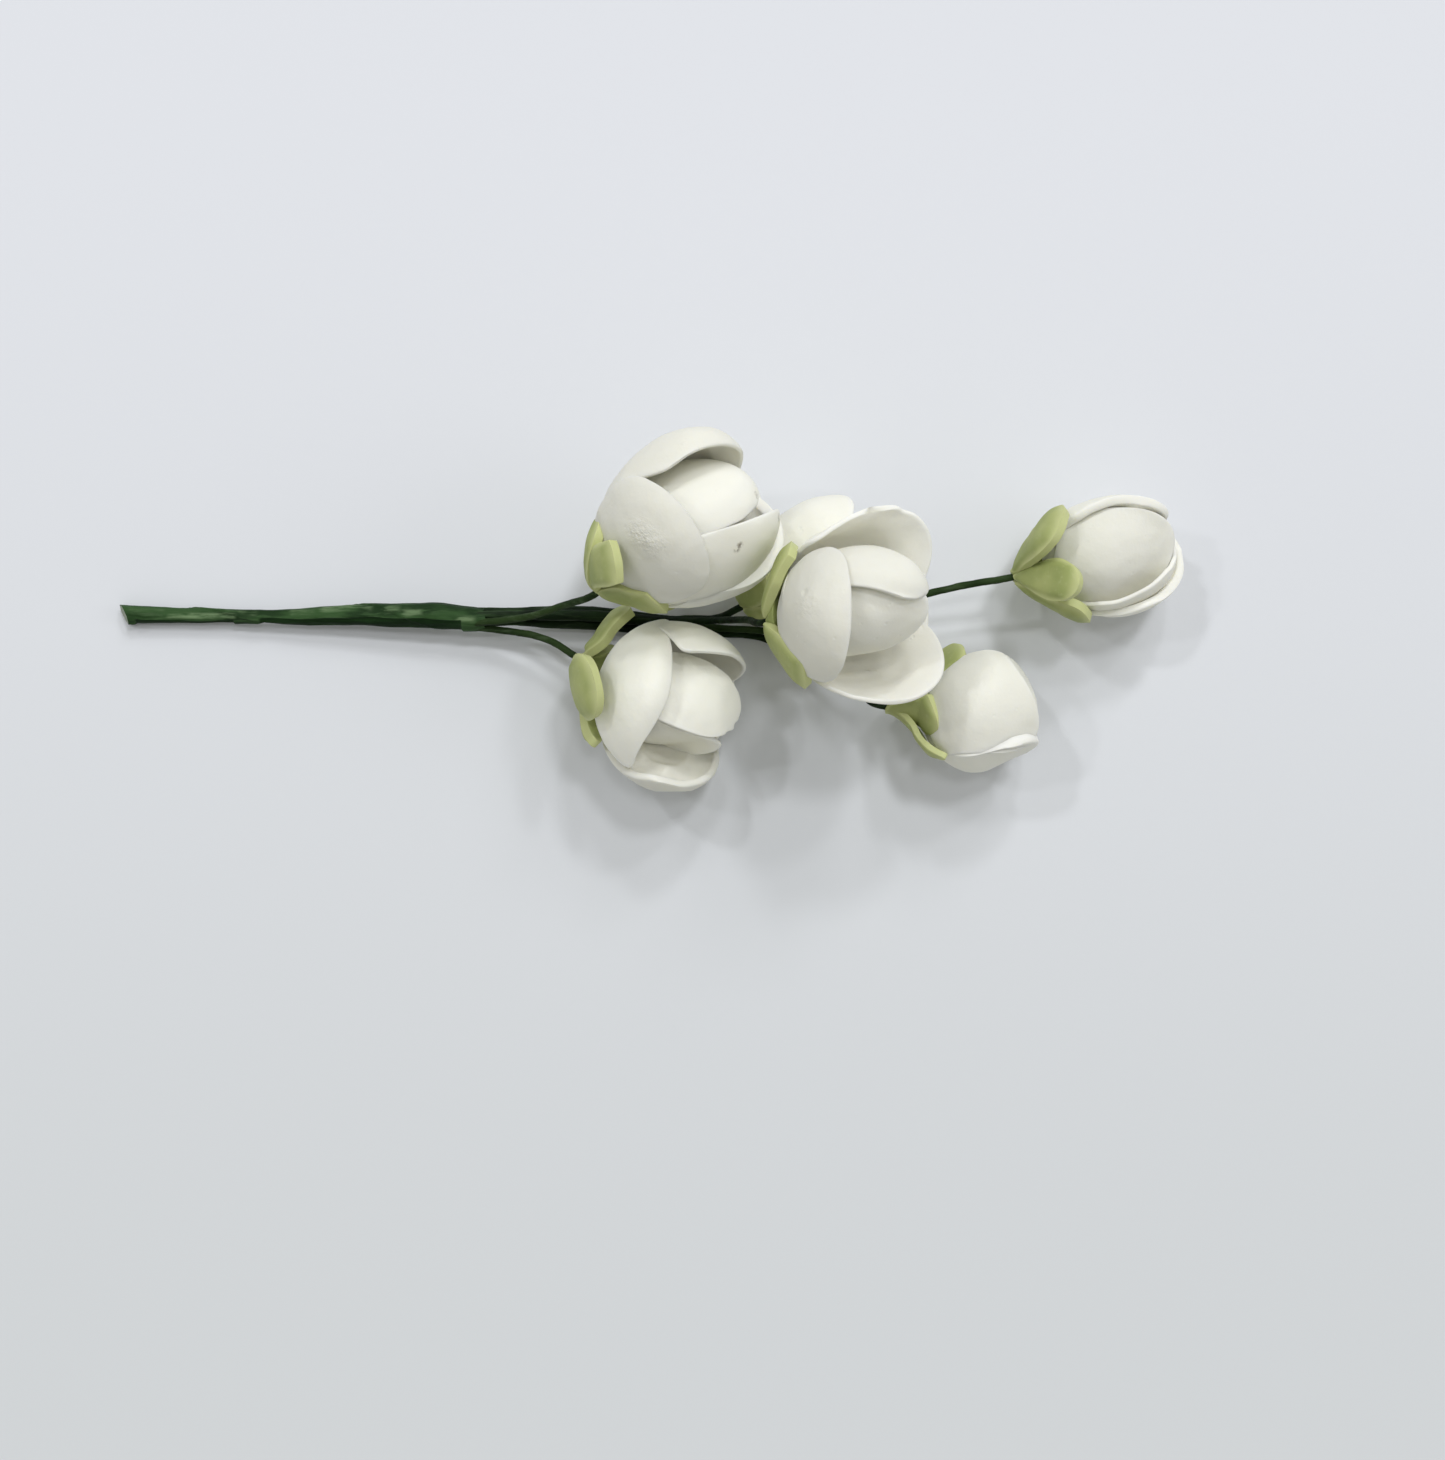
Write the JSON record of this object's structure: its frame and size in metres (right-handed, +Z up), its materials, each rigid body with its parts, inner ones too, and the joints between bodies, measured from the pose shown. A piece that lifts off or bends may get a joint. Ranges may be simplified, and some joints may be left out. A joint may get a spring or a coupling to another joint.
{
  "type": "multi-bloom rose stem",
  "caption": "Artificial rose stem lying flat: cupped white blooms with layered petals and thick green sepals, their wires bound into one taped stem.",
  "frame": {"origin": "on the surface it lies on, under the middle of its overall box", "axes": "+X along the stem from its cut end towards the blooms, +Y to the left of that seen from above, +Z up from the surface"},
  "size_m": [0.1736, 0.0568, 0.0445],
  "materials": {
    "petal_white": "matt warm white modelling paste",
    "sepal_sage": "matt sage green modelling paste",
    "stem_tape": "waxed crinkled floral tape",
    "wire_wrap": "steel wire bound in dark green floral tape"
  },
  "bodies": {
    "root": {"taped_stem": "stem_tape", "petals_upper": "petal_white", "petals_lower": "petal_white", "petals_front": "petal_white", "petals_far": "petal_white", "petals_near": "petal_white", "petals_under": "petal_white", "calyx_upper": "sepal_sage", "calyx_lower": "sepal_sage", "calyx_front": "sepal_sage", "calyx_far": "sepal_sage", "calyx_near": "sepal_sage", "calyx_under": "sepal_sage", "wire_upper": "wire_wrap", "wire_lower": "wire_wrap", "wire_front": "wire_wrap", "wire_far": "wire_wrap", "wire_near": "wire_wrap", "wire_under": "wire_wrap"}
  },
  "joints": []
}
